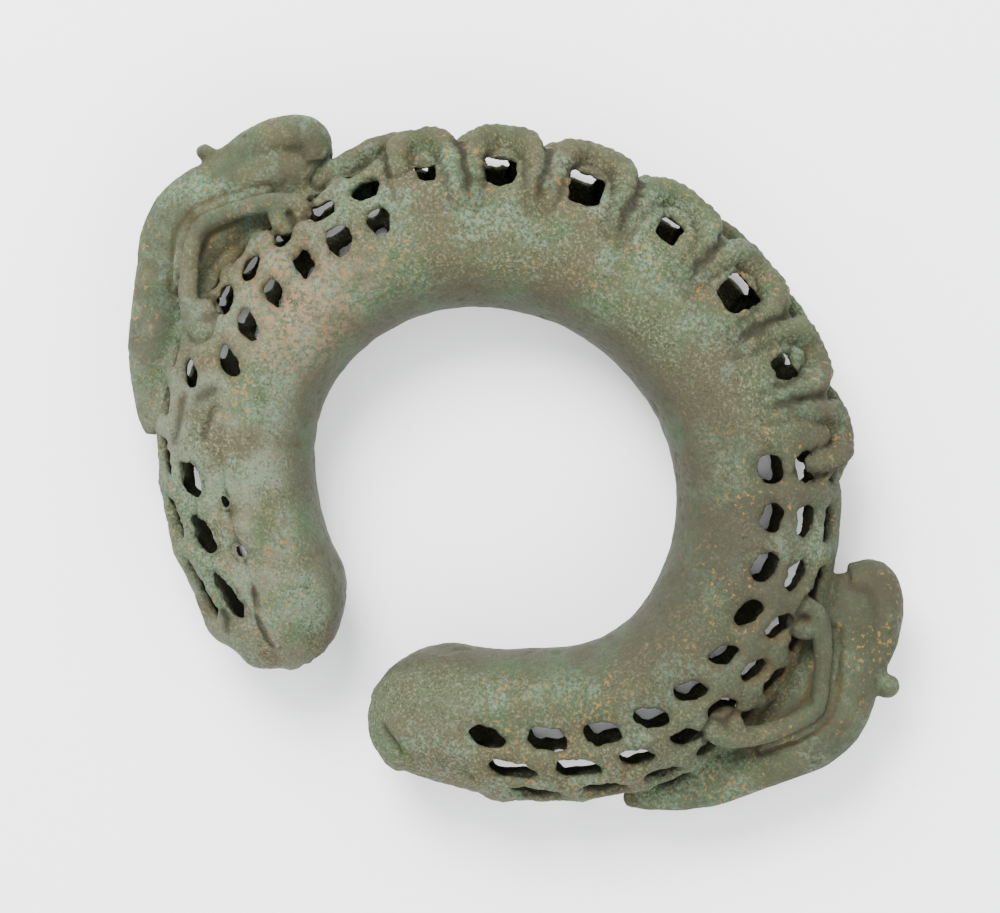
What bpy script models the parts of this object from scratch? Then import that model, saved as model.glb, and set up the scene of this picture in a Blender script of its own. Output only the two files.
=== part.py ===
"""A hollow cast-bronze currency bracelet: an open ring, smooth on the wrist side and openwork on the outer
side, with a crest of corded loops opposite the gap and a long-tailed bird on each flank. One casting.

Metres, +Z up. It lies on its flattened underside with the gap towards -Y, and its box stands centred on the
origin. A station angle runs round the ring in degrees, 0 at the middle of the side opposite the gap and
positive towards -X. An around angle runs round the band's section in degrees: 0 on top, 90 at the outer rim,
180 underneath and 270 at the wrist side.
"""

import math
import random

import bmesh
import bpy
from mathutils import Vector

# The ring and its hollow band
WRIST_RADIUS = 0.031
WRIST_OVAL = 0.0012
RIGHT_PINCH = 0.0034
LEFT_PINCH = 0.0019
BAND_HEIGHT = 0.026
CREST_WIDTH = 0.0284
SIDE_WIDTH = 0.028
TIP_WIDTH = 0.0257
WALL = 0.0021
FLAT_HALF_ANGLE = 15.0
TIP_ANGLE = 172.5
DOME_ANGLE = 21.0
DOME_RINGS = 3
WRIST_FACES = 4

# The openwork: rows of openings run along the outer half of the band, columns of them round its section
ROWS = 7
FINE_ROWS = 3
OPENWORK_START = -7.0
COLUMNS = 11
RIGHT_FIRST, RIGHT_PITCH = 48.0, 10.0
LEFT_FIRST, LEFT_PITCH = 61.0, 8.5
ARM_STRETCH = 0.35
COLUMN_LEAN = 12.0
LEFT_ROW_SHIFT = 8.0
BAR_WIDTH = 0.0026
LOZENGE_SQUEEZE = 0.62
PLAIN_SQUEEZE = 0.9
LOZENGE_LEAN = 0.18
UNEVENNESS = 0.16
SLIT_SIZE = 0.45
SLITS = {("left", 8, 0), ("left", 9, 0)}
FILLED = {
    ("left", 6, 0), ("left", 7, 0), ("left", 7, 1), ("left", 10, 0), ("left", 10, 3),
    ("left", 2, 5), ("left", 9, 5), ("left", 5, 6), ("left", 10, 5), ("left", 10, 6),
    ("right", 10, 0), ("right", 10, 2), ("right", 3, 6), ("right", 6, 5), ("right", 9, 6), ("right", 10, 4),
    ("right", 10, 6), ("left", 7, 4), ("right", 1, 3), ("left", 0, 4), ("right", 10, 1),
    ("left", 5, 1),
}

# The crest: corded loops over openings, with a rounded lobe between each two
LOOPS = 7
LOOP_CENTRE = 3.5
LOOP_PITCH = 17.2
LOOP_CROWDING = 0.2
LOOP_FOOT_AROUND = 46.0
LOOP_CROWN_AROUND = 78.0
LOOP_CORD = 0.0036
LOOP_LIFT = 0.0009
LOOP_STEPS = 5
CREST_HALF_ANGLE = 51.0
CREST_FADE = 7.6
CREST_OPENING = 0.48
CREST_SIZES = (0.72, 1.1, 0.78, 1.05, 0.88, 0.55)
UNDERSIDE_SIZE = 1.12
UNDERSIDE_SHIFT = 2.2
LOBE_RISE = 0.0015

# Faces that meet at less than this are joined, so that the union leaves no needless cuts in the skin
JOINED_ANGLE = 4.0

# The birds. Along the rim from the breast, out from the rim, up from the mid-plane, and half thickness, all
# as shares of the bird's length
BIRD_LENGTH = 0.055
BIRD_ANGLE = 65.5
TRUNK_FLATTENING = 0.75
HEAD_WIDENING = 1.35
TRUNK = (
    (0.00, 0.045, 0.050),
    (0.07, 0.065, 0.080),
    (0.16, 0.087, 0.106),
    (0.27, 0.113, 0.131),
    (0.38, 0.131, 0.142),
    (0.46, 0.125, 0.133),
    (0.55, 0.098, 0.109),
    (0.65, 0.077, 0.085),
    (0.77, 0.057, 0.065),
    (0.90, 0.036, 0.039),
    (1.00, 0.013, 0.024),
)
HEAD = (
    (0.02, 0.055, 0.050),
    (0.00, 0.125, 0.060),
    (0.055, 0.170, 0.063),
    (0.140, 0.193, 0.056),
    (0.200, 0.208, 0.042),
    (0.235, 0.235, 0.024),
    (0.250, 0.272, 0.024),
)
LIMB = (
    (0.15, -0.020, 0.134),
    (0.22, 0.024, 0.128),
    (0.31, 0.070, 0.112),
    (0.39, 0.104, 0.104),
    (0.46, 0.078, 0.113),
    (0.53, 0.034, 0.128),
    (0.60, -0.014, 0.149),
    (0.64, -0.047, 0.164),
)
LIMB_CORD = 0.0028
CURL_RADIUS = 0.0021
CURL_TURN = 220.0
CURL_STEPS = 3


def sine(degrees):
    return math.sin(math.radians(degrees))


def cosine(degrees):
    return math.cos(math.radians(degrees))


def ease(value, start, end):
    """0 before start, 1 after end and an S-curve between."""
    t = min(1.0, max(0.0, (value - start) / (end - start)))
    return t * t * (3 - 2 * t)


def polar(angle, radius, up):
    """The point at a station angle, a distance from the ring's axis and a height over the mid-plane."""
    return Vector((-radius * sine(angle), radius * cosine(angle), up))


def crest_share(angle):
    """1 along the crest and 0 along the arms."""
    return 1 - ease(abs(angle - LOOP_CENTRE), CREST_HALF_ANGLE, CREST_HALF_ANGLE + CREST_FADE)


def half_width(angle):
    """Half the band's width across the ring, before the domed tip takes it in."""
    crest = crest_share(angle)
    tip = ease(abs(angle), 110, 155)
    width = CREST_WIDTH * crest + SIDE_WIDTH * (1 - crest) + (TIP_WIDTH - SIDE_WIDTH) * tip
    return width / 2


def tip_share(angle):
    """1 along the band, falling to 0 at the end of its domed tip."""
    t = max(0.0, (abs(angle) - (TIP_ANGLE - DOME_ANGLE)) / DOME_ANGLE)
    return math.sqrt(max(0.0, 1 - t * t))


def centre_radius(angle):
    """How far the middle of the band is from the ring's axis: the arms draw in towards their tips."""
    pinch = RIGHT_PINCH if angle < 0 else LEFT_PINCH
    wrist = WRIST_RADIUS - WRIST_OVAL * cosine(2 * angle) - pinch * ease(abs(angle), 95, 135)
    return wrist + half_width(angle)


def rim_radius(angle):
    return centre_radius(angle) + half_width(angle)


def leaning(angle, around):
    """Where a station's line crosses the section at an around angle. The openwork's cross bars lean towards
    the crest as they near the rim, and the crest's underside is a little out of step with its top."""
    reach = max(0.0, sine(around))
    lean = COLUMN_LEAN * ease(abs(angle), 70, 140) * (1 - ease(abs(angle), 150, TIP_ANGLE)) * reach
    under = ease(around, 60, 120) * (1 - ease(around, 200, 340))
    return angle - math.copysign(lean, angle) + UNDERSIDE_SHIFT * crest_share(angle) * under


def lobe_rise(angle, around):
    """How far the crest's rounded lobes stand up between its openings."""
    from_opening = min(abs(angle - loop) for loop in loop_angles())
    between = ease(from_opening, 0, LOOP_PITCH / 2)
    from_pole = min(abs(around), abs(180 - around))
    over = ease(from_pole, 12, 36) * (1 - ease(from_pole, 52, 84))
    return LOBE_RISE * crest_share(angle) * between * over


def row_shift(angle, around):
    """The left arm's rows lie a little nearer the rim than the right arm's."""
    along = ease(angle, 48, 62) * (1 - ease(angle, 112, 142))
    return LEFT_ROW_SHIFT * along * ease(around, -20, 10) * (1 - ease(around, 50, 180))


def skin_point(angle, around, lift=0.0):
    """A point on the band's skin, or lifted off it. The top and the underside are flattened."""
    station = leaning(angle, around)
    share = tip_share(station)
    half_height = BAND_HEIGHT / 2
    up = (half_height / cosine(FLAT_HALF_ANGLE) + lift) * cosine(around)
    up = max(-half_height - lift, min(half_height + lift, up))
    out = (half_width(station) + lift) * sine(around)
    return polar(station, centre_radius(station) + out * share, up * share)


def arm_bounds(first, pitch):
    """Station angles between an arm's columns, which spread towards the tip."""
    bounds = [first - pitch / 2]
    for _ in range(COLUMNS):
        middle = bounds[-1] + pitch / 2
        bounds.append(bounds[-1] + pitch * (1 + ARM_STRETCH * ease(middle, 100, 140)))
    return bounds


def dome_bounds(start):
    """Station angles of the rings that close a tip, from its last column to its pole."""
    base = TIP_ANGLE - DOME_ANGLE
    first = math.degrees(math.asin(max(0.0, start - base) / DOME_ANGLE))
    return [base + DOME_ANGLE * sine(first + (90 - first) * k / DOME_RINGS) for k in range(1, DOME_RINGS + 1)]


def loop_angles():
    """Station angles of the loops, which crowd together a little towards the arms."""
    steps = [k - (LOOPS - 1) / 2 for k in range(LOOPS)]
    return [LOOP_CENTRE + LOOP_PITCH * step - LOOP_CROWDING * step ** 3 for step in steps]


def loop_feet():
    """Station angles of the loops' feet: halfway between neighbours, and as far again past the last ones."""
    loops = loop_angles()
    feet = [(before + after) / 2 for before, after in zip(loops, loops[1:])]
    return [2 * loops[0] - feet[0], *feet, 2 * loops[-1] - feet[-1]]


def crest_bounds():
    """Station angles along the crest: the middle of each lobe and the two sides of the opening after it."""
    opening = CREST_OPENING * LOOP_PITCH / 2
    bounds = []
    for foot, loop in zip(loop_feet()[1:], loop_angles()[1:]):
        bounds += [foot, loop - opening, loop + opening]
    return bounds


def columns_between(kind, bounds):
    return [(start, end, kind, number) for number, (start, end) in enumerate(zip(bounds, bounds[1:]))]


def mirrored(columns):
    return [(-end, -start, kind, number) for start, end, kind, number in reversed(columns)]


def band_columns():
    """The band's columns from the right tip to the left one, as (start angle, end angle, kind, number)."""
    right = arm_bounds(RIGHT_FIRST, RIGHT_PITCH)
    left = arm_bounds(LEFT_FIRST, LEFT_PITCH)
    columns = mirrored(columns_between("dome", [right[-1], *dome_bounds(right[-1])]))
    columns += mirrored(columns_between("right", right))
    columns += columns_between("crest", [-right[0], *crest_bounds(), left[0]])
    columns += columns_between("left", left)
    columns += columns_between("dome", [left[-1], *dome_bounds(left[-1])])
    return columns


def around_angles():
    """Lines round the section: two to each of the upper rows of the openwork, one to each of the rest, and a
    few on the smooth wrist side."""
    step = (180 - 2 * OPENWORK_START) / ROWS
    openwork = [OPENWORK_START + step / 2 * k for k in range(2 * FINE_ROWS)]
    openwork += [OPENWORK_START + step * row for row in range(FINE_ROWS, ROWS + 1)]
    wrist_start = 180 + FLAT_HALF_ANGLE
    wrist_step = (180 - 2 * FLAT_HALF_ANGLE) / WRIST_FACES
    return openwork + [wrist_start + wrist_step * k for k in range(WRIST_FACES + 1)]


def row_faces(column, row):
    """The faces of a column that a row of the openwork takes."""
    if row < FINE_ROWS:
        return column[2 * row:2 * row + 2]
    return [column[FINE_ROWS + row]]


def open_patch(sheet, patch, squeeze, lean, size=1.0):
    """Cuts a slanting lozenge in a patch of faces and leaves half a bar round it."""
    face = patch[0]
    if len(patch) > 1:
        face = bmesh.ops.dissolve_faces(sheet, faces=patch, use_verts=False)["region"][0]
    bmesh.ops.inset_individual(sheet, faces=[face], thickness=BAR_WIDTH / 2, use_even_offset=True)
    centre = face.calc_center_median()
    crestward = Vector((centre.y, -centre.x, 0)).normalized()
    crestward *= 1 if centre.x < 0 else -1
    rimward = face.normal.cross(crestward)
    rimward *= 1 if rimward.dot(Vector((centre.x, centre.y, 0))) > 0 else -1
    tallest = max(abs((vertex.co - centre).dot(rimward)) for vertex in face.verts)
    for vertex in face.verts:
        offset = vertex.co - centre
        along, across = offset.dot(crestward), offset.dot(rimward)
        is_corner = abs(across) > 0.6 * tallest
        new_along = along * (squeeze if is_corner else 1.0) + lean * across
        new_across = across + lean * along
        move = crestward * (new_along * size - along) + rimward * (new_across * size - across)
        vertex.co += move
    bmesh.ops.delete(sheet, geom=[face], context="FACES_ONLY")


def is_behind_bird(start, end, row):
    """The trunk lies against the middle row of the openwork, which is blind behind it."""
    middle = abs(start + end) / 2
    reach = math.degrees(0.45 * BIRD_LENGTH / rim_radius(90))
    return row == ROWS // 2 and BIRD_ANGLE < middle < BIRD_ANGLE + reach


def make_band():
    """The band as a sheet of its outer skin, pierced by its openings, with Solidify giving the wall."""
    chance = random.Random(7)
    columns = band_columns()
    arounds = around_angles()
    stations = [columns[0][0]] + [column[1] for column in columns]
    sheet = bmesh.new()
    rings = []
    for angle in stations:
        shifted = [around + row_shift(angle, around) for around in arounds]
        points = [skin_point(angle, around, lobe_rise(angle, around)) for around in shifted]
        rings.append([sheet.verts.new(point) for point in points])
    faces = []
    for before, after in zip(rings, rings[1:]):
        corners = zip(before, before[1:] + before[:1], after[1:] + after[:1], after)
        faces.append([sheet.faces.new(quad) for quad in corners])
    bmesh.ops.recalc_face_normals(sheet, faces=sheet.faces)
    for (start, end, kind, number), column in zip(columns, faces):
        if kind in ("left", "right"):
            for row in range(ROWS):
                size = 1 - UNEVENNESS * chance.random()
                if (kind, number, row) in FILLED or is_behind_bird(start, end, row):
                    continue
                if (kind, number, row) in SLITS:
                    size = SLIT_SIZE
                lean = LOZENGE_LEAN * ease(abs(start), 50, 80) * (1 - ease(abs(start), 95, 125))
                squeeze = LOZENGE_SQUEEZE if row < FINE_ROWS else PLAIN_SQUEEZE
                open_patch(sheet, row_faces(column, row), squeeze, lean, size)
        if kind == "crest" and number % 3 == 2:
            patch = row_faces(column, 1) + row_faces(column, 2)[:1]
            open_patch(sheet, patch, PLAIN_SQUEEZE, 0.0, CREST_SIZES[number // 3])
            open_patch(sheet, row_faces(column, ROWS - 3), PLAIN_SQUEEZE, 0.0, UNDERSIDE_SIZE)
    bmesh.ops.remove_doubles(sheet, verts=sheet.verts, dist=1e-6)
    for vertex in sheet.verts:
        vertex.co.z = max(-BAND_HEIGHT / 2, min(BAND_HEIGHT / 2, vertex.co.z))
    bmesh.ops.recalc_face_normals(sheet, faces=sheet.faces)
    mesh = bpy.data.meshes.new("bracelet_casting")
    sheet.to_mesh(mesh)
    sheet.free()
    band = bpy.data.objects.new("bracelet_casting", mesh)
    solidify = band.modifiers.new("Wall", "SOLIDIFY")
    solidify.thickness = WALL
    solidify.offset = -1
    solidify.use_even_offset = True
    return band


def make_cord(name, points, radii, sides_resolution):
    """A closed mesh tube through points, with a radius of its own at each."""
    curve = bpy.data.curves.new(name, "CURVE")
    curve.dimensions = "3D"
    curve.bevel_depth = 1.0
    curve.bevel_resolution = sides_resolution
    curve.use_fill_caps = True
    spline = curve.splines.new("POLY")
    spline.points.add(len(points) - 1)
    for spot, point, radius in zip(spline.points, points, radii):
        spot.co = (*point, 1.0)
        spot.radius = radius
    tube = bpy.data.objects.new(name, curve)
    bpy.context.scene.collection.objects.link(tube)
    evaluated = tube.evaluated_get(bpy.context.evaluated_depsgraph_get())
    mesh = bpy.data.meshes.new_from_object(evaluated)
    bpy.data.objects.remove(tube)
    welded = bmesh.new()
    welded.from_mesh(mesh)
    bmesh.ops.remove_doubles(welded, verts=welded.verts, dist=1e-6)
    bmesh.ops.recalc_face_normals(welded, faces=welded.faces)
    welded.to_mesh(mesh)
    welded.free()
    return bpy.data.objects.new(name, mesh)


def make_loops():
    """The crest's loops, an arcade of them on top and another underneath."""
    loops = []
    for side in ("top", "under"):
        feet = loop_feet()
        for number, (foot, next_foot) in enumerate(zip(feet, feet[1:])):
            points = []
            for k in range(LOOP_STEPS + 1):
                turn = 180 * k / LOOP_STEPS
                angle = (foot + next_foot) / 2 - (next_foot - foot) / 2 * cosine(turn)
                around = LOOP_FOOT_AROUND + (LOOP_CROWN_AROUND - LOOP_FOOT_AROUND) * sine(turn)
                if side == "under":
                    around = 180 - around
                points.append(skin_point(angle, around, LOOP_LIFT * sine(turn)))
            radii = [LOOP_CORD / 2] * len(points)
            loops.append(make_cord(f"{side}_loop_{number + 1}", points, radii, 1))
    return loops


def bird_point(side, along, out, up=0.0):
    """A point on a bird, on the left (side 1) or right (side -1) flank."""
    angle = BIRD_ANGLE + math.degrees(along * BIRD_LENGTH / rim_radius(90))
    return polar(side * angle, rim_radius(side * angle) + out * BIRD_LENGTH, up * BIRD_LENGTH)


def stretch_height(tube, share):
    for vertex in tube.data.vertices:
        vertex.co.z *= share


def limb_points(side, above):
    """A limb's route: curled at its root, out to the knee, back in and curled again at its foot."""
    bends = [bird_point(side, along, out, above * up) for along, out, up in LIMB]
    root, foot = [], []
    for curl, end, before, turn_way in ((root, bends[0], bends[1], 1), (foot, bends[-1], bends[-2], -1)):
        heading = (end - before).normalized()
        rimward = Vector((end.x, end.y, 0)).normalized()
        inward = -rimward - heading * heading.dot(-rimward)
        inward.normalize()
        middle = end + inward * CURL_RADIUS
        for k in range(1, CURL_STEPS + 1):
            turn = CURL_TURN * k / CURL_STEPS
            curl.append(middle - inward * CURL_RADIUS * cosine(turn) + heading * CURL_RADIUS * sine(turn))
    return list(reversed(root)) + bends + foot


def make_bird(side, name):
    """A bird along the rim: a tapering trunk and tail, a head turned back, and limbs above and below."""
    points = [bird_point(side, along, out) for along, out, _ in TRUNK]
    trunk = make_cord(f"{name}_trunk", points, [thick * BIRD_LENGTH for _, _, thick in TRUNK], 2)
    stretch_height(trunk, TRUNK_FLATTENING)
    points = [bird_point(side, along, out) for along, out, _ in HEAD]
    head = make_cord(f"{name}_head", points, [thick * BIRD_LENGTH for _, _, thick in HEAD], 2)
    stretch_height(head, HEAD_WIDENING)
    limbs = []
    for above, where in ((1, "upper"), (-1, "lower")):
        points = limb_points(side, above)
        limbs.append(make_cord(f"{name}_{where}_limb", points, [LIMB_CORD / 2] * len(points), 1))
    return [trunk, head, *limbs]


def bronze():
    material = bpy.data.materials.new("patinated_bronze")
    material.use_nodes = True
    shader = material.node_tree.nodes["Principled BSDF"]
    shader.inputs["Base Color"].default_value = (0.171, 0.166, 0.112, 1.0)
    shader.inputs["Roughness"].default_value = 0.72
    shader.inputs["Metallic"].default_value = 0.15
    return material


def stand_on_origin(casting):
    """Moves the finished casting so that its box stands centred on the origin."""
    bpy.context.view_layer.update()
    evaluated = casting.evaluated_get(bpy.context.evaluated_depsgraph_get())
    corners = [vertex.co for vertex in evaluated.data.vertices]
    lowest = [min(corner[axis] for corner in corners) for axis in range(3)]
    highest = [max(corner[axis] for corner in corners) for axis in range(3)]
    casting.location = (-(lowest[0] + highest[0]) / 2, -(lowest[1] + highest[1]) / 2, -lowest[2])


for leftover in list(bpy.data.objects):
    bpy.data.objects.remove(leftover)

bracelet = bpy.data.collections.new("currency_bracelet")
joined = bpy.data.collections.new("cast_on")
bpy.context.scene.collection.children.link(bracelet)
bpy.context.scene.collection.children.link(joined)

casting = make_band()
casting.data.materials.append(bronze())
bracelet.objects.link(casting)

for piece in make_loops() + make_bird(1, "left_bird") + make_bird(-1, "right_bird"):
    piece.hide_render = True
    piece.display_type = "WIRE"
    piece.parent = casting
    joined.objects.link(piece)

union = casting.modifiers.new("Cast on", "BOOLEAN")
union.operation = "UNION"
union.operand_type = "COLLECTION"
union.collection = joined

merge = casting.modifiers.new("Join flat faces", "DECIMATE")
merge.decimate_type = "DISSOLVE"
merge.angle_limit = math.radians(JOINED_ANGLE)

stand_on_origin(casting)
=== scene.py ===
import math

import bmesh
import bpy
from mathutils import Matrix, Vector, noise
from mathutils.kdtree import KDTree


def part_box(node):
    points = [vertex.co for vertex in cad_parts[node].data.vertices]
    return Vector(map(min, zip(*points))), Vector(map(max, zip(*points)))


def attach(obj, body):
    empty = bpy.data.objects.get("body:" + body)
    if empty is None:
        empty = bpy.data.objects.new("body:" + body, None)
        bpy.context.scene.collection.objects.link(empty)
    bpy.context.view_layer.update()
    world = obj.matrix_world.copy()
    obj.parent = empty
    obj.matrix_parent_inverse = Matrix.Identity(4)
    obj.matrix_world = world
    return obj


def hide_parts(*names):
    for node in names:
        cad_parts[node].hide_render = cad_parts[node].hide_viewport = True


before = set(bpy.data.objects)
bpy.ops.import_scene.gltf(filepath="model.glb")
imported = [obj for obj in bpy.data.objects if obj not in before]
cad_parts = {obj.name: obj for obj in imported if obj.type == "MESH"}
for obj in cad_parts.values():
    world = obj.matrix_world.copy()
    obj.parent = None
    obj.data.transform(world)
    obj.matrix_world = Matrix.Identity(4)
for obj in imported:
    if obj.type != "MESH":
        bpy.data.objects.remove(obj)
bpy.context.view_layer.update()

# The hollow ring of the casting, a tube of bronze bent round the wrist and open at its gap. It was cast over
# a clay core from a wax modelled by hand, so nothing on it is quite even. Its mesh starts as a copy of the
# solid, smoothed from flat facets to the round section. Lengths are in metres and angles in degrees.
TIPS_REACH = 0.0486
BAND_HEIGHT = 0.026
WRIST_RADIUS = 0.031
WRIST_OVAL = 0.0012
RIGHT_PINCH = 0.0034
LEFT_PINCH = 0.0019
CREST_WIDTH = 0.0284
SIDE_WIDTH = 0.028
TIP_WIDTH = 0.0257
FLAT_HALF_ANGLE = 15.0
TIP_ANGLE = 172.5
DOME_ANGLE = 21.0
TIP_NARROWING = (110, 155)
PINCH_STATIONS = (95, 135)
CREST_MIDDLE = 3.5
CREST_HALF_ANGLE = 51.0
CREST_FADE = 7.6
RING_AXIS = Vector((0.0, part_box("bracelet_casting")[0][1] + TIPS_REACH, BAND_HEIGHT / 2))


def sine(degrees):
    return math.sin(math.radians(degrees))


def cosine(degrees):
    return math.cos(math.radians(degrees))


def ease(value, start, end):
    """0 before start, 1 after end and an S-curve between."""
    t = min(1.0, max(0.0, (value - start) / (end - start)))
    return t * t * (3 - 2 * t)


def crest_share(angle):
    return 1 - ease(abs(angle - CREST_MIDDLE), CREST_HALF_ANGLE, CREST_HALF_ANGLE + CREST_FADE)


def half_width(angle):
    crest = crest_share(angle)
    tip = ease(abs(angle), *TIP_NARROWING)
    return (CREST_WIDTH * crest + SIDE_WIDTH * (1 - crest) + (TIP_WIDTH - SIDE_WIDTH) * tip) / 2


def tip_share(angle):
    t = max(0.0, (abs(angle) - (TIP_ANGLE - DOME_ANGLE)) / DOME_ANGLE)
    return math.sqrt(max(0.0, 1 - t * t))


def centre_radius(angle):
    pinch = (RIGHT_PINCH if angle < 0 else LEFT_PINCH) * ease(abs(angle), *PINCH_STATIONS)
    return WRIST_RADIUS - WRIST_OVAL * cosine(2 * angle) - pinch + half_width(angle)


def ring_point(angle, radius, up):
    """A point by its station round the ring (0 at the crest, positive to the left), radius and height."""
    return RING_AXIS + Vector((-radius * sine(angle), radius * cosine(angle), up))


def skin_point(angle, around, lift=0.0):
    """A point on the ring's skin: around is 0 on top, 90 at the outer rim and 180 underneath."""
    half_height = BAND_HEIGHT / 2
    up = (half_height / cosine(FLAT_HALF_ANGLE) + lift) * cosine(around)
    up = max(-half_height - lift, min(half_height + lift, up))
    out = (half_width(angle) + lift) * sine(around)
    share = tip_share(angle)
    return ring_point(angle, centre_radius(angle) + out * share, up * share)


def with_modifier(mesh, kind, **settings):
    """The mesh after one modifier."""
    piece = bpy.data.objects.new("working", mesh)
    bpy.context.scene.collection.objects.link(piece)
    modifier = piece.modifiers.new(kind, kind)
    for name, value in settings.items():
        setattr(modifier, name, value)
    bpy.context.view_layer.update()
    evaluated = piece.evaluated_get(bpy.context.evaluated_depsgraph_get())
    result = bpy.data.meshes.new_from_object(evaluated)
    bpy.data.objects.remove(piece)
    return result


LEAST_TIP_SHARE = 0.05
MIDDLE_LEVEL = 0.4
TINY = 1e-9


def on_ring(place):
    """A place's station angle, its distance out from the middle of the band, and its height."""
    flat = Vector((place.x - RING_AXIS.x, place.y - RING_AXIS.y))
    angle = math.degrees(math.atan2(-flat.x, flat.y))
    return angle, flat.length - centre_radius(angle), place.z - RING_AXIS.z


def below_skin(place):
    """How far a place is below the ring's skin, the way out from it and its around angle.

    There is no answer at the very tip, or near the middle of the ring's section.
    """
    angle, out, up = on_ring(place)
    share = tip_share(angle)
    height = BAND_HEIGHT / 2 / cosine(FLAT_HALF_ANGLE) * share
    level = math.hypot(out / (half_width(angle) * share + TINY), up / (height + TINY))
    reach = math.hypot(out, up)
    if share < LEAST_TIP_SHARE or level < MIDDLE_LEVEL:
        return None
    outward = Vector((-sine(angle) * out, cosine(angle) * out, up)) / reach
    around = math.degrees(math.atan2(out, up))
    return reach / level - reach, outward, around


FUSING = 0.0004
FIRST_SMOOTHING = 12
SMOOTHING_FACTOR = 0.5
FACET_DEPTH = 0.0009
WRIST_FACET_DEPTH = 0.0015
FACET_FADE = 0.5
FACING_OUT = 0.2

solid = bmesh.new()
solid.from_mesh(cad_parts["bracelet_casting"].data)
bmesh.ops.remove_doubles(solid, verts=solid.verts, dist=1e-6)
plain = bpy.data.meshes.new("plain")
solid.to_mesh(plain)
solid.free()
plain = with_modifier(plain, "REMESH", mode="VOXEL", voxel_size=FUSING)
plain = with_modifier(plain, "SMOOTH", iterations=FIRST_SMOOTHING, factor=SMOOTHING_FACTOR)

limit = BAND_HEIGHT / 2
ring_skin = bmesh.new()
ring_skin.from_mesh(plain)
ring_skin.normal_update()
for vertex in ring_skin.verts:
    found = below_skin(vertex.co)
    if found is None:
        continue
    short, outward, around = found
    depth = WRIST_FACET_DEPTH if around < 0 else FACET_DEPTH
    if 0 < short < depth and vertex.normal.dot(outward) > FACING_OUT:
        vertex.co += outward * short * (1 - ease(short, FACET_FADE * depth, depth))
    vertex.co.z = max(RING_AXIS.z - limit, min(RING_AXIS.z + limit, vertex.co.z))
ring_skin.to_mesh(plain)
ring_skin.free()


# The crest's cords, cast in one with the ring: in the wax they were rolled threads with a finer thread wound
# round them, pressed on as a row of loops whose legs run in over the band side by side. Another row, with
# short legs, runs along the underside, and three thin threads lie along the rim between the rows.
LOOPS = 7
LOOP_PITCH = 17.2
LOOP_CROWDING = 0.2
LOOP_FOOT_AROUND = 46.0
LOOP_CROWN_AROUND = 76.5
LOOP_INSET = 1.7
LOOP_RISE = 45
LOOP_LIFT = 0.0008
LOOP_SINK = 0.0011
LOOP_CORD = 0.0046
LOOP_TURNS = 12
LONG_LEG_AROUND = 9.0
SHORT_LEG_AROUND = 36.0
LEG_STEPS = 20
LEG_SINK = 0.0007
LEG_TAPER = 0.55
UNEVEN = 0.13
UNEVEN_SIZE = 0.0045
GROOVE_DEPTH = 0.13
UNDERSIDE_SHIFT = 2.2
STEPS_IN_A_TURN = 6
RIM_THREAD = 0.0026
RIM_THREAD_AROUND = 96
RIM_THREAD_LIFT = 0.0016
RIM_THREAD_BEND = 0.0028
RIM_THREAD_STEPS = 30
# each rim thread's middle station and half its length
RIM_THREADS = ((-6.0, 8.0), (-22.5, 8.5), (-41.5, 9.0))
# the cord from the left bird to the nearest loop: stations, around angles and lifts
LEFT_CORD = (
    (67.0, 86.0, 0.0),
    (62.0, 84.0, 0.0012),
    (57.0, 80.0, 0.0018),
    (52.0, 79.0, 0.0014),
    (49.0, 78.0, 0.0008),
)
LEFT_CORD_THICKNESS = 0.0032
LEFT_CORD_STEPS = 8
CORD_SIDES = 12
form = bmesh.new()
cords = []


def added(piece):
    """Adds a small form of its own to the rest, with its faces outwards."""
    bmesh.ops.recalc_face_normals(piece, faces=piece.faces)
    mesh = bpy.data.meshes.new("added")
    piece.to_mesh(mesh)
    piece.free()
    form.from_mesh(mesh)
    bpy.data.meshes.remove(mesh)


def round_cord(points, radii, sides):
    """A closed round cord along points: a circle, extruded and turned from each point to the next."""
    cord = bmesh.new()
    runs = [(after - before).normalized() for before, after in zip(points, points[1:])]
    headings = runs[:1] + [(a + b).normalized() for a, b in zip(runs, runs[1:])] + runs[-1:]
    turn = Vector((0, 0, 1)).rotation_difference(headings[0]).to_matrix().to_4x4()
    place = Matrix.Translation(points[0]) @ turn @ Matrix.Scale(radii[0], 4)
    bmesh.ops.create_circle(cord, cap_ends=False, segments=sides, radius=1.0, matrix=place)
    edges = cord.edges[:]
    bmesh.ops.contextual_create(cord, geom=edges)
    for k in range(1, len(points)):
        grown = bmesh.ops.extrude_edge_only(cord, edges=edges)["geom"]
        ring = [part for part in grown if isinstance(part, bmesh.types.BMVert)]
        lines = [part for part in grown if isinstance(part, bmesh.types.BMEdge)]
        edges = [line for line in lines if set(line.verts) <= set(ring)]
        turn = headings[k - 1].rotation_difference(headings[k]).to_matrix().to_4x4()
        step = Matrix.Translation(points[k]) @ turn @ Matrix.Scale(radii[k] / radii[k - 1], 4)
        bmesh.ops.transform(cord, matrix=step @ Matrix.Translation(-points[k - 1]), verts=ring)
    bmesh.ops.contextual_create(cord, geom=edges)
    return cord


def lay_cord(points, radii, sides=CORD_SIDES):
    """Adds a cord, and keeps its points, because the skin is grooved beside them later."""
    cords.extend(zip(points, radii))
    added(round_cord(points, radii, sides))


def grooved(count, thickness):
    """Radii along a cord that a finer thread winds round."""
    turns = [(1 + cosine(360 * k / STEPS_IN_A_TURN)) / 2 for k in range(count)]
    return [thickness / 2 * (1 - GROOVE_DEPTH * turn) for turn in turns]


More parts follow.
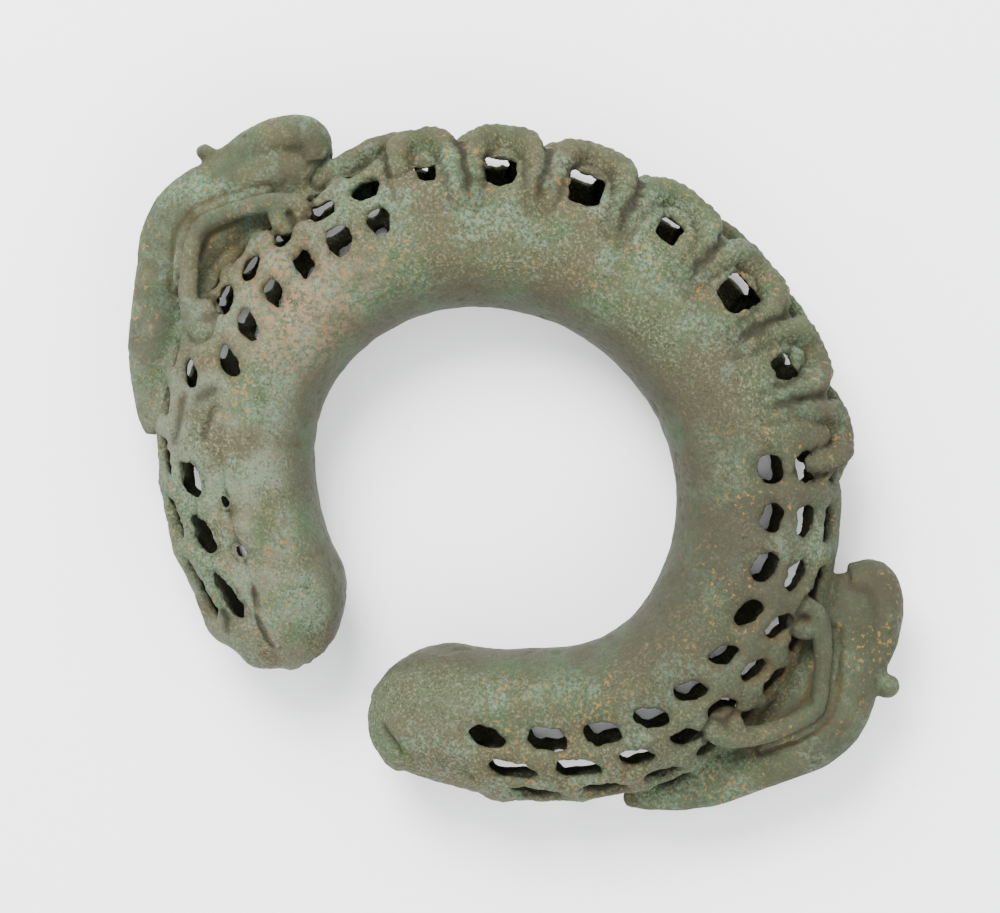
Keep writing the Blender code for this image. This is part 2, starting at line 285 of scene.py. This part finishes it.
def leg_cord(angle, inner_end):
    """A leg's spots from its inner end, where it is sunk into the band, out to the loop's foot."""
    spots = []
    for k in range(LEG_STEPS):
        t = k / LEG_STEPS
        around = inner_end + (LOOP_FOOT_AROUND - inner_end) * t
        lift = -LOOP_SINK - LEG_SINK * (1 - t)
        spots.append((angle, around, lift, LEG_TAPER + (1 - LEG_TAPER) * t))
    return spots


def loop_cord(foot, next_foot, underneath):
    """One loop with its two legs. They are short underneath, and at the ends of the row."""
    middle = (foot + next_foot) / 2
    reach = (next_foot - foot) / 2 - LOOP_INSET
    steps = LOOP_TURNS * STEPS_IN_A_TURN
    arch = []
    for k in range(steps + 1):
        turn = 180 * k / steps
        around = LOOP_FOOT_AROUND + (LOOP_CROWN_AROUND - LOOP_FOOT_AROUND) * sine(turn)
        risen = ease(turn, 0, LOOP_RISE) * ease(180 - turn, 0, LOOP_RISE)
        lift = (LOOP_LIFT + LOOP_SINK) * risen - LOOP_SINK
        arch.append((middle - reach * cosine(turn), around, lift, 1.0))
    first_end = SHORT_LEG_AROUND if underneath or foot == feet[0] else LONG_LEG_AROUND
    last_end = SHORT_LEG_AROUND if underneath or next_foot == feet[-1] else LONG_LEG_AROUND
    first_leg = leg_cord(middle - reach, first_end)
    last_leg = leg_cord(middle + reach, last_end)
    spots = first_leg + arch + last_leg[::-1]
    points = []
    for angle, around, lift, _ in spots:
        if underneath:
            points.append(skin_point(angle + UNDERSIDE_SHIFT, 180 - around, lift))
        else:
            points.append(skin_point(angle, around, lift))
    radii = []
    for point, spot, radius in zip(points, spots, grooved(len(points), LOOP_CORD)):
        uneven = 1 + UNEVEN * noise.noise(point / UNEVEN_SIZE)
        radii.append(radius * spot[3] * uneven)
    lay_cord(points, radii)


steps = [k - (LOOPS - 1) / 2 for k in range(LOOPS)]
loops = [CREST_MIDDLE + LOOP_PITCH * step - LOOP_CROWDING * step ** 3 for step in steps]
feet = [(before + after) / 2 for before, after in zip(loops, loops[1:])]
feet = [2 * loops[0] - feet[0], *feet, 2 * loops[-1] - feet[-1]]
for foot, next_foot in zip(feet, feet[1:]):
    loop_cord(foot, next_foot, False)
    loop_cord(foot, next_foot, True)
for middle, half_length in RIM_THREADS:
    points = []
    for k in range(-RIM_THREAD_STEPS, RIM_THREAD_STEPS + 1):
        t = k / RIM_THREAD_STEPS
        lift = RIM_THREAD_LIFT - RIM_THREAD_BEND * t * t
        points.append(skin_point(middle + half_length * t, RIM_THREAD_AROUND, lift))
    lay_cord(points, grooved(len(points), RIM_THREAD))
points = []
for spot, next_spot in zip(LEFT_CORD, LEFT_CORD[1:]):
    for k in range(LEFT_CORD_STEPS):
        t = k / LEFT_CORD_STEPS
        points.append(skin_point(*(a + (b - a) * t for a, b in zip(spot, next_spot))))
lay_cord(points, grooved(len(points), LEFT_CORD_THICKNESS))


# The two birds, cast in one with the ring, one on each flank: a smooth tapering trunk and tail, a head
# turned back over it, and a cord bent into a limb above and below, curled at both ends round a small bead.
# Routes are in shares of a bird's length: along it, out from the rim, and the radius or the limb's height.
BIRD_LENGTH = 0.055
BIRD_ANGLE = 65.5
FLANK = 90
TRUNK_SIDES = 24
RIDGE_SIDES = 10
TRUNK_FLATTENING = 0.75
HEAD_WIDENING = 1.35
NUB_FLARE = 0.45
NUB_STEPS = 5
PROUD = 0.0025
TRUNK = (
    (0.00, 0.045, 0.050),
    (0.07, 0.065, 0.080),
    (0.16, 0.087, 0.106),
    (0.27, 0.113, 0.131),
    (0.38, 0.131, 0.142),
    (0.46, 0.125, 0.133),
    (0.55, 0.098, 0.109),
    (0.65, 0.077, 0.085),
    (0.77, 0.057, 0.065),
    (0.90, 0.036, 0.039),
    (1.00, 0.013, 0.024),
)
HEAD = (
    (0.02, 0.055, 0.050),
    (0.00, 0.125, 0.060),
    (0.055, 0.170, 0.063),
    (0.140, 0.193, 0.056),
    (0.200, 0.208, 0.042),
    (0.235, 0.235, 0.024),
    (0.250, 0.272, 0.024),
)
LIMB = (
    (0.15, -0.020, 0.134),
    (0.22, 0.024, 0.128),
    (0.31, 0.070, 0.112),
    (0.39, 0.104, 0.104),
    (0.46, 0.078, 0.113),
    (0.53, 0.034, 0.128),
    (0.60, -0.014, 0.149),
    (0.64, -0.047, 0.164),
)
LIMB_CORD = 0.0030
RIDGE_CORD = 0.0016
RIDGE_ASIDE = 0.036
RIDGE_BELOW = 0.014
RIDGE_DIP = 0.045
RIDGE_DIP_STEPS = 5
RIDGE_ENDS = (5, 9)
CURL_RADIUS = 0.0021
CURL_TURN = 300.0
CURL_STEPS = 16
BEAD = 0.0015
ROUND_END = (25, 45, 60, 75, 86)
# width and depth of the dimple on a limb's root
ROOT_DIMPLE = (0.0007, 0.0008)
dimples = []


def smooth_route(spots, per_span=6):
    """A smooth curve through spots, which are tuples of any length."""
    ends = [spots[0], *spots, spots[-1]]
    route = []
    for a, b, c, d in zip(ends, ends[1:], ends[2:], ends[3:]):
        for k in range(per_span):
            t = k / per_span
            spot = []
            for p, q, r, s in zip(a, b, c, d):
                square = (2 * p - 5 * q + 4 * r - s) * t * t
                cube = (3 * q - p - 3 * r + s) * t ** 3
                spot.append(((2 * q) + (r - p) * t + square + cube) / 2)
            route.append(tuple(spot))
    return route + [spots[-1]]


def bird_point(side, along, out, up=0.0):
    """A point of the bird on the left flank (side 1) or the right (side -1)."""
    angle = BIRD_ANGLE + math.degrees(along * BIRD_LENGTH / (centre_radius(FLANK) + half_width(FLANK)))
    rim = centre_radius(side * angle) + half_width(side * angle)
    return ring_point(side * angle, rim + out * BIRD_LENGTH, up * BIRD_LENGTH)


def lay_flattened(points, radii, share):
    """A cord whose height is a share of its width."""
    cord = round_cord(points, radii, TRUNK_SIDES)
    squash = Matrix.Diagonal((1, 1, share, 1)) @ Matrix.Translation(-RING_AXIS)
    bmesh.ops.transform(cord, matrix=Matrix.Translation(RING_AXIS) @ squash, verts=cord.verts)
    added(cord)


def domed(points, radii):
    """The same cord with a rounded last end."""
    heading = (points[-1] - points[-2]).normalized()
    points = points + [points[-1] + heading * radii[-1] * sine(turn) for turn in ROUND_END]
    return points, radii + [radii[-1] * cosine(turn) for turn in ROUND_END]


def ridge_beside(limb):
    """The second ridge's route: close along a limb's outer side, its ends dipping into the band."""
    ridge = []
    for (along, out, up), (next_along, next_out, _) in zip(limb, limb[1:]):
        run, rise = next_along - along, next_out - out
        length = math.hypot(run, rise)
        along -= rise / length * RIDGE_ASIDE
        out += run / length * RIDGE_ASIDE
        ridge.append((along, out, up - RIDGE_BELOW))
    ridge = ridge[RIDGE_ENDS[0]:-RIDGE_ENDS[1]]
    last = len(ridge) - 1
    dips = [RIDGE_DIP * (1 - ease(min(k, last - k), 0, RIDGE_DIP_STEPS)) for k in range(last + 1)]
    return [(along, out, up - dip) for (along, out, up), dip in zip(ridge, dips)]


def curl(end, before):
    """A turn of a limb's end round its bead, and the bead's place."""
    heading = (end - before).normalized()
    rimward = Vector((end.x - RING_AXIS.x, end.y - RING_AXIS.y, 0)).normalized()
    inward = -rimward - heading * heading.dot(-rimward)
    inward.normalize()
    middle = end + inward * CURL_RADIUS
    turns = [CURL_TURN * k / CURL_STEPS for k in range(1, CURL_STEPS + 1)]
    across, forward = inward * CURL_RADIUS, heading * CURL_RADIUS
    return [middle - across * cosine(turn) + forward * sine(turn) for turn in turns], middle


def add_bird(side):
    """One bird: side is 1 for the left flank and -1 for the right, whose head ends in a wider nub."""
    trunk = smooth_route(TRUNK)
    points = [bird_point(side, along, out) for along, out, _ in trunk]
    points, radii = domed(points, [(thick + PROUD) * BIRD_LENGTH for _, _, thick in trunk])
    lay_flattened(points, radii, TRUNK_FLATTENING)
    head = smooth_route(HEAD)
    points = [bird_point(side, along, out) for along, out, _ in head]
    radii = [(thick + PROUD) * BIRD_LENGTH for _, _, thick in head]
    if side < 0:
        last = len(radii) - 1
        wider = [1 + NUB_FLARE * ease(k, last - NUB_STEPS, last) for k in range(last + 1)]
        radii = [radius * share for radius, share in zip(radii, wider)]
    points, radii = domed(points, radii)
    lay_flattened(points, radii, HEAD_WIDENING)
    for above in (1, -1):
        limb = [bird_point(side, along, out, above * up) for along, out, up in smooth_route(LIMB)]
        root, root_bead = curl(limb[0], limb[1])
        foot, foot_bead = curl(limb[-1], limb[-2])
        points = root[::-1] + limb + foot
        lay_cord(points, [LIMB_CORD / 2 + PROUD * BIRD_LENGTH] * len(points))
        for bead in (root_bead, foot_bead):
            ball = bmesh.new()
            place = Matrix.Translation(bead)
            bmesh.ops.create_icosphere(ball, subdivisions=3, radius=BEAD, matrix=place)
            added(ball)
        dimples.append((root_bead + Vector((0, 0, above * BEAD)), *ROOT_DIMPLE))
        ridge = ridge_beside(smooth_route(LIMB))
        ridge = [bird_point(side, along, out, above * up) for along, out, up in ridge]
        lay_cord(ridge, [RIDGE_CORD / 2] * len(ridge), RIDGE_SIDES)


add_bird(1)
add_bird(-1)


# The cast surface. Everything is fused into one skin of bronze, as it was in the wax, with soft lumps from
# the fingers that shaped it, worn edges, and pits where the metal has corroded in the ground. Each point of
# the skin keeps how much soil and painted shade it gets (darker in grooves, creases, round the openings and
# inside the hollow), how far round on the wrist side it is, and how proud of the ring.
LAST_SMOOTHING = 2
MOST_TRIANGLES = 194000
# size and depth of the lumps and of the pits
LUMPS = ((0.0090, 0.00020), (0.0034, 0.00011), (0.0014, 0.00007))
PITS = ((0.0022, 0.00030), (0.0009, 0.00018))
PIT_START = 0.30
PIT_GAIN = 2.5
PIT_OFFSET = Vector((7, 3, 5))
BESIDE_CORD = 0.0013
CORD_GROOVE = 0.00055
CORD_GROOVE_START = 0.0001
CORD_SOIL_AND_SHADE = 0.6
HOLE_DIP = 0.0009
HOLE_DIP_REACH = 0.0019
FUNNEL_DEPTH = 0.002
HOLE_WALL = (0.0007, 0.0016)
HOLE_WALL_LEAN = 0.6
HOLE_LEAST_AROUND = -20
HOLE_SOIL_AND_SHADE = 0.45
RAGGED = 0.00045
RAGGED_SIZE = 0.0017
SKIN_DEPTH = 0.0012
# points this deep under the skin get the full soil and painted shade
DARK_DEPTH = 0.003
SKIN_FACING = 0.3
LEDGE = 0.0006
LEDGE_AROUND = 4.5
LEDGE_TURN = 20
LEDGE_TURN_STATIONS = (148, 164)
LEDGE_IN = (106, 116)
LEDGE_OUT = (160, 168)
LEDGE_FALL = (-1.5, 1.5)
LEDGE_LEVEL = (20, 45)
LEDGE_FOOT = 0.8
LEDGE_FOOT_WIDTH = 1.6
LEDGE_SOIL_AND_SHADE = 0.5
RIB_CREASE = 0.0008
RIB_CREASE_WIDTH = 1.0
RIB_INNER = (10, 30)
RIB_OUTER = (62, 84)
RIB_WANDER = 2.0
RIB_WANDER_SIZE = (9, 14)
RIB_SOIL_AND_SHADE = 0.6
LEAST_CREST = 0.1
# each crease from a station and around angle to another, with its width and depth
CREASES = (
    (-166.5, 30, -155.5, 55, 0.0010, 0.0012),
    (-160.0, 30, -149.0, 40, 0.0009, 0.0011),
    (-150.5, 38, -146.0, 43, 0.0007, 0.0015),
    (153.0, 44, 156.5, 52, 0.0011, 0.0008),
    (151.5, 8, 154.5, 9, 0.0009, 0.0007),
    (157.0, 16, 164.0, 25, 0.0008, 0.0007),
    (112.0, 14, 118.0, 20, 0.0013, 0.0008),
    (108.5, 16, 111.0, 26, 0.0015, 0.0008),
    (112.0, 40, 119.5, 44, 0.0013, 0.0007),
)
CREASE_STEPS = 24
CREASE_SOIL_AND_SHADE = 0.8
WRIST_SIDE = (22, 62)
STANDING_PROUD = (0.0006, 0.0028)


def ledge_around(angle):
    """Where the smooth inner band of the left arm ends in a small step down to the openwork."""
    return LEDGE_AROUND + LEDGE_TURN * ease(angle, *LEDGE_TURN_STATIONS)


def step_and_ribs(angle, around):
    """How deep the left arm's step and the creases between the crest's ribs are, and the soil and painted
    shade darkening them.
    """
    depth, dark = 0.0, 0.0
    if LEDGE_IN[0] < angle < LEDGE_OUT[1]:
        # the step fades in beside the bird's tail and out at the tip
        shown = ease(angle, *LEDGE_IN) * (1 - ease(angle, *LEDGE_OUT))
        past = around - ledge_around(angle)
        depth += LEDGE * shown * ease(past, *LEDGE_FALL) * (1 - ease(past, *LEDGE_LEVEL))
        # painted shadow with soil at the foot of the step
        dark += LEDGE_SOIL_AND_SHADE * shown * math.exp(-((past - LEDGE_FOOT) / LEDGE_FOOT_WIDTH) ** 2)
    if crest_share(angle) > LEAST_CREST and RIB_INNER[0] < around < RIB_OUTER[1]:
        # a crease runs between the legs of two loops, and wanders a little
        place = Vector((angle / RIB_WANDER_SIZE[0], around / RIB_WANDER_SIZE[1], 0.5))
        wander = RIB_WANDER * noise.noise(place)
        from_foot = min(abs(angle + wander - foot) for foot in feet)
        over = ease(around, *RIB_INNER) * (1 - ease(around, *RIB_OUTER)) * crest_share(angle)
        crease = math.exp(-(from_foot / RIB_CREASE_WIDTH) ** 2) * over
        depth += RIB_CREASE * crease
        # painted shade with soil in the crease between the ribs
        dark += RIB_SOIL_AND_SHADE * crease
    return depth, dark


def tree_of(points):
    tree = KDTree(len(points))
    for number, point in enumerate(points):
        tree.insert(point, number)
    tree.balance()
    return tree


form.from_mesh(plain)
rough = bpy.data.meshes.new("rough")
form.to_mesh(rough)
form.free()
fused = with_modifier(rough, "REMESH", mode="VOXEL", voxel_size=FUSING)
fused = with_modifier(fused, "SMOOTH", iterations=LAST_SMOOTHING, factor=SMOOTHING_FACTOR)

cord_tree = tree_of([point for point, _ in cords])
crease_points = list(dimples)
for angle, around, next_angle, next_around, width, depth in CREASES:
    for k in range(CREASE_STEPS + 1):
        t = k / CREASE_STEPS
        spot = skin_point(angle + (next_angle - angle) * t, around + (next_around - around) * t)
        # a crease is shallower towards its ends
        crease_points.append((spot, width, depth * sine(20 + 140 * t)))
crease_tree = tree_of([spot for spot, _, _ in crease_points])
skin = bmesh.new()
skin.from_mesh(fused)
skin.normal_update()
found_at = [below_skin(vertex.co) for vertex in skin.verts]
walls = []
for number, (vertex, found) in enumerate(zip(skin.verts, found_at)):
    # one point in three on the openings' walls is enough
    if found is None or number % 3:
        continue
    short, outward, around = found
    if HOLE_WALL[0] < short < HOLE_WALL[1] and around > HOLE_LEAST_AROUND:
        if abs(vertex.normal.dot(outward)) < HOLE_WALL_LEAN:
            walls.append(vertex.co.copy())
wall_tree = tree_of(walls)
moves = []
soil_and_shade_levels = []
wrist = []
proud = []
for vertex, found in zip(skin.verts, found_at):
    place = vertex.co
    move = 0.0
    soil_and_shade = 0.0
    for size, depth in LUMPS:
        move += depth * noise.noise(place / size)
    for size, depth in PITS:
        pit = max(0.0, noise.noise(place / size + PIT_OFFSET) - PIT_START)
        move -= depth * pit * PIT_GAIN
    _, number, distance = cord_tree.find(place)
    beside = distance - cords[number][1]
    if CORD_GROOVE_START < beside < BESIDE_CORD:
        groove = sine(180 * beside / BESIDE_CORD)
        move -= CORD_GROOVE * groove
        # the groove beside a cord gets soil and painted shade
        soil_and_shade += CORD_SOIL_AND_SHADE * groove
    shift = Vector()
    if found:
        short, outward, around = found
        # painted shade with soil, darker deeper under the skin: the hollow's inside and the openings' walls
        soil_and_shade += ease(short, SKIN_DEPTH, DARK_DEPTH)
        if short < FUNNEL_DEPTH:
            _, _, distance = wall_tree.find(place)
            near = math.exp(-(distance / HOLE_DIP_REACH) ** 2)
            shift = noise.noise_vector(place / RAGGED_SIZE) * RAGGED * near
            shift -= outward * HOLE_DIP * near * (1 - ease(short, 0.0, FUNNEL_DEPTH))
            # painted shade with soil on the ground round the openings
            soil_and_shade += HOLE_SOIL_AND_SHADE * near
        if short < SKIN_DEPTH and vertex.normal.dot(outward) > SKIN_FACING:
            angle, _, _ = on_ring(place)
            # the step's painted shadow and the rib creases' soil and painted shade
            lower, dark = step_and_ribs(angle, around)
            move -= lower
            soil_and_shade += dark
            _, number, distance = crease_tree.find(place)
            _, width, depth = crease_points[number]
            crease = math.exp(-(distance / width) ** 2)
            move -= depth * crease
            # soil and painted shade in the creases and the root dimples
            soil_and_shade += CREASE_SOIL_AND_SHADE * crease
    moves.append(vertex.normal * move + shift)
    wrist.append(ease(-found[2], *WRIST_SIDE) if found else 0.0)
    proud.append(ease(-found[0], *STANDING_PROUD) if found else 0.0)
    # the soil and painted shade kept for each point, for the patina
    soil_and_shade_levels.append(min(1.0, soil_and_shade))
for vertex, move in zip(skin.verts, moves):
    vertex.co += move
full_tree = tree_of([vertex.co.copy() for vertex in skin.verts])
skin.to_mesh(fused)
skin.free()
triangles = sum(len(face.vertices) - 2 for face in fused.polygons)
if triangles > MOST_TRIANGLES:
    fused = with_modifier(fused, "DECIMATE", ratio=MOST_TRIANGLES / triangles)
fused.shade_smooth()
nearest = [full_tree.find(vertex.co)[1] for vertex in fused.vertices]
for name, values in (("soil_and_shade_levels", soil_and_shade_levels), ("wrist", wrist), ("proud", proud)):
    attribute = fused.attributes.new(name, "FLOAT", "POINT")
    attribute.data.foreach_set("value", [values[number] for number in nearest])
casting = bpy.data.objects.new("casting", fused)
bpy.context.scene.collection.objects.link(casting)
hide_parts("bracelet_casting")
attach(casting, "root")


# The patina: grey-brown bronze under a mottled grey-green crust, stippled with pale and dark grains, with
# mint and green patches, ochre specks of earth, a pinkish crust on the left arm, painted light on the left
# arm, painted shade on the right arm, and a barer wrist side worn smooth. Brown soil with painted shade
# darkens every recess. Each coat lies over the ones before it.
WARM_GREY = (0.050, 0.046, 0.024)
OLIVE = (0.047, 0.059, 0.028)
PALE_GRAIN = (0.150, 0.148, 0.090)
DARK_GRAIN = (0.015, 0.014, 0.009)
MINT = (0.082, 0.130, 0.086)
LEAF_GREEN = (0.034, 0.060, 0.027)
OCHRE = (0.180, 0.100, 0.026)
PINK_CRUST = (0.200, 0.122, 0.074)
PAINTED_LIGHT_TINT = (0.110, 0.128, 0.088)
DARK_CRUST_AND_SHADE = (0.028, 0.028, 0.017)
WORN_BRONZE = (0.034, 0.033, 0.020)
SOIL_AND_SHADE = (0.012, 0.010, 0.005)
OCHRE_SOIL = (0.056, 0.038, 0.012)

material = bpy.data.materials.new("patina")
material.use_nodes = True
nodes = material.node_tree.nodes
links = material.node_tree.links
shader = nodes["Principled BSDF"]
shader.inputs["Metallic"].default_value = 0.0
shader.inputs["Specular IOR Level"].default_value = 0.18
coordinates = nodes.new("ShaderNodeTexCoord").outputs["Object"]


def noise_at(scale, detail=4.0, roughness=0.55):
    """Noise with so many lumps to the metre."""
    node = nodes.new("ShaderNodeTexNoise")
    node.inputs["Scale"].default_value = scale
    node.inputs["Detail"].default_value = detail
    node.inputs["Roughness"].default_value = roughness
    links.new(coordinates, node.inputs["Vector"])
    return node.outputs["Fac"]


def between(value, low, high, to_low=0.0, to_high=1.0):
    """to_low below low, to_high above high and a smooth change between."""
    node = nodes.new("ShaderNodeMapRange")
    node.interpolation_type = "SMOOTHSTEP"
    node.inputs["From Min"].default_value = low
    node.inputs["From Max"].default_value = high
    node.inputs["To Min"].default_value = to_low
    node.inputs["To Max"].default_value = to_high
    links.new(value, node.inputs["Value"])
    return node.outputs["Result"]


def times(first, second):
    node = nodes.new("ShaderNodeMath")
    node.operation = "MULTIPLY"
    for socket, value in zip(node.inputs, (first, second)):
        if isinstance(value, float):
            socket.default_value = value
        else:
            links.new(value, socket)
    return node.outputs["Value"]


def laid_over(under, colour, share):
    node = nodes.new("ShaderNodeMix")
    node.data_type = "RGBA"
    if isinstance(under, tuple):
        node.inputs["A"].default_value = (*under, 1)
    else:
        links.new(under, node.inputs["A"])
    node.inputs["B"].default_value = (*colour, 1)
    links.new(share, node.inputs["Factor"])
    return node.outputs["Result"]


def attribute_of(name):
    node = nodes.new("ShaderNodeAttribute")
    node.attribute_name = name
    return node.outputs["Fac"]


def near_place(place, reach):
    """1 at a place on the ring, falling to 0 at its reach."""
    node = nodes.new("ShaderNodeVectorMath")
    node.operation = "DISTANCE"
    links.new(coordinates, node.inputs[0])
    node.inputs[1].default_value = tuple(place)
    return between(node.outputs["Value"], 0.0, reach, 1.0, 0.0)


# how much soil and painted shade each point gets
soil_and_shade_share = attribute_of("soil_and_shade_levels")
wrist_share = attribute_of("wrist")
proud_share = attribute_of("proud")
crust_share = between(wrist_share, 0.0, 1.0, 1.0, 0.2)
grain_share = times(crust_share, between(proud_share, 0.0, 1.0, 1.0, 0.5))
grain_share = times(grain_share, between(noise_at(75, 3), 0.35, 0.65, 0.55, 1.0))
pale_grains = between(noise_at(1900, 3, 0.7), 0.50, 0.64)
dark_grains = between(noise_at(2200, 3, 0.7), 0.51, 0.65)
fine_flecks = between(noise_at(1300, 4, 0.7), 0.44, 0.60)
specks = between(noise_at(1100, 3, 0.6), 0.58, 0.66)
# painted light: the left arm, most of all its inner side, made paler as if lit from the left
painted_light_side = near_place(skin_point(128.0, -8.0), 0.062)
# painted shade: the right arm made darker as if turned away from the light
painted_shade_side = near_place(skin_point(-68.0, 15.0), 0.060)
pink_place = near_place(skin_point(85.0, -4.0), 0.017)

colour = laid_over(WARM_GREY, OLIVE, between(noise_at(70, 4), 0.40, 0.60))
# painted light laid over the left arm
painted_light_side = times(painted_light_side, between(noise_at(130, 4), 0.30, 0.60))
colour = laid_over(colour, PAINTED_LIGHT_TINT, times(painted_light_side, times(crust_share, 0.75)))
colour = laid_over(colour, WORN_BRONZE, times(wrist_share, 0.75))
colour = laid_over(colour, LEAF_GREEN, times(between(noise_at(110, 4), 0.50, 0.64), 0.7))
mint_patches = between(noise_at(120, 5, 0.6), 0.48, 0.60)
colour = laid_over(colour, MINT, times(times(mint_patches, fine_flecks), times(crust_share, 0.9)))
colour = laid_over(colour, PALE_GRAIN, times(pale_grains, times(grain_share, 0.75)))
colour = laid_over(colour, DARK_GRAIN, times(dark_grains, times(grain_share, 0.75)))
# painted shade laid over the right arm
painted_shade_side = times(painted_shade_side, between(noise_at(90, 4), 0.25, 0.55))
colour = laid_over(colour, DARK_CRUST_AND_SHADE, times(painted_shade_side, 0.8))
dark_patches = between(noise_at(160, 4), 0.38, 0.62)
colour = laid_over(colour, DARK_CRUST_AND_SHADE, times(dark_patches, times(proud_share, 0.6)))
pink = times(pink_place, between(noise_at(1000, 4, 0.7), 0.45, 0.58))
colour = laid_over(colour, PINK_CRUST, times(pink, 0.75))
ochre_patches = between(noise_at(100, 4, 0.6), 0.46, 0.60)
colour = laid_over(colour, OCHRE, times(times(ochre_patches, specks), times(crust_share, 0.8)))
for side in (1, -1):
    under_limb = near_place(bird_point(side, 0.38, 0.0, 0.13), 0.024)
    earthy = times(under_limb, between(soil_and_shade_share, 0.1, 0.45))
    earthy = times(earthy, between(noise_at(500, 4, 0.7), 0.38, 0.60))
    colour = laid_over(colour, OCHRE_SOIL, times(earthy, 0.85))
# soil and painted shade: brown laid darkest in recesses, grooves, creases, round the openings and inside the
# hollow
colour = laid_over(colour, SOIL_AND_SHADE, times(between(soil_and_shade_share, 0.2, 1.0), 0.85))
links.new(colour, shader.inputs["Base Color"])
links.new(between(wrist_share, 0.0, 1.0, 0.82, 0.62), shader.inputs["Roughness"])
bump = nodes.new("ShaderNodeBump")
bump.inputs["Strength"].default_value = 0.8
bump.inputs["Distance"].default_value = 0.00025
links.new(noise_at(2000, 4, 0.75), bump.inputs["Height"])
links.new(bump.outputs["Normal"], shader.inputs["Normal"])
casting.data.materials.clear()
casting.data.materials.append(material)


# The pale table that the bracelet lies on, the soft studio light over it, and the camera straight above.
# They aren't part of the object. The camera is turned so that the crest is at the top right.
TABLE_SIZE = 3.0
CAMERA_HEIGHT = 0.60
FRAME_WIDTH = 0.170
CAMERA_TURN = 38.0
CAMERA_AIM = (-0.0022, -0.0008)

table = bmesh.new()
bmesh.ops.create_grid(table, x_segments=1, y_segments=1, size=TABLE_SIZE / 2)
table_mesh = bpy.data.meshes.new("table")
table.to_mesh(table_mesh)
table.free()
floor = bpy.data.objects.new("table", table_mesh)
bpy.context.scene.collection.objects.link(floor)
paper = bpy.data.materials.new("paper")
paper.use_nodes = True
paper_shader = paper.node_tree.nodes["Principled BSDF"]
paper_shader.inputs["Base Color"].default_value = (0.95, 0.95, 0.95, 1)
paper_shader.inputs["Roughness"].default_value = 0.9
floor.data.materials.append(paper)

world = bpy.data.worlds.new("studio")
world.use_nodes = True
sky = world.node_tree.nodes["Background"]
sky.inputs["Color"].default_value = (0.97, 0.985, 1.0, 1)
sky.inputs["Strength"].default_value = 2.1
bpy.context.scene.world = world


def softbox(name, place, size, power):
    data = bpy.data.lights.new(name, "AREA")
    data.shape = "DISK"
    data.size = size
    data.energy = power
    lamp = bpy.data.objects.new(name, data)
    lamp.location = place
    lamp.rotation_euler = (-Vector(place)).to_track_quat("-Z", "Y").to_euler()
    bpy.context.scene.collection.objects.link(lamp)


softbox("key", (-0.5, 0.25, 0.7), 0.5, 20.0)
softbox("fill", (0.7, -0.2, 0.6), 0.7, 6.0)

lens = bpy.data.cameras.new("camera")
lens.sensor_width = 36.0
lens.lens = lens.sensor_width * (CAMERA_HEIGHT - RING_AXIS.z) / FRAME_WIDTH
lens.clip_start = 0.01
camera = bpy.data.objects.new("camera", lens)
camera.location = (*CAMERA_AIM, CAMERA_HEIGHT)
camera.rotation_euler = (0, 0, math.radians(CAMERA_TURN))
bpy.context.scene.collection.objects.link(camera)
bpy.context.scene.camera = camera
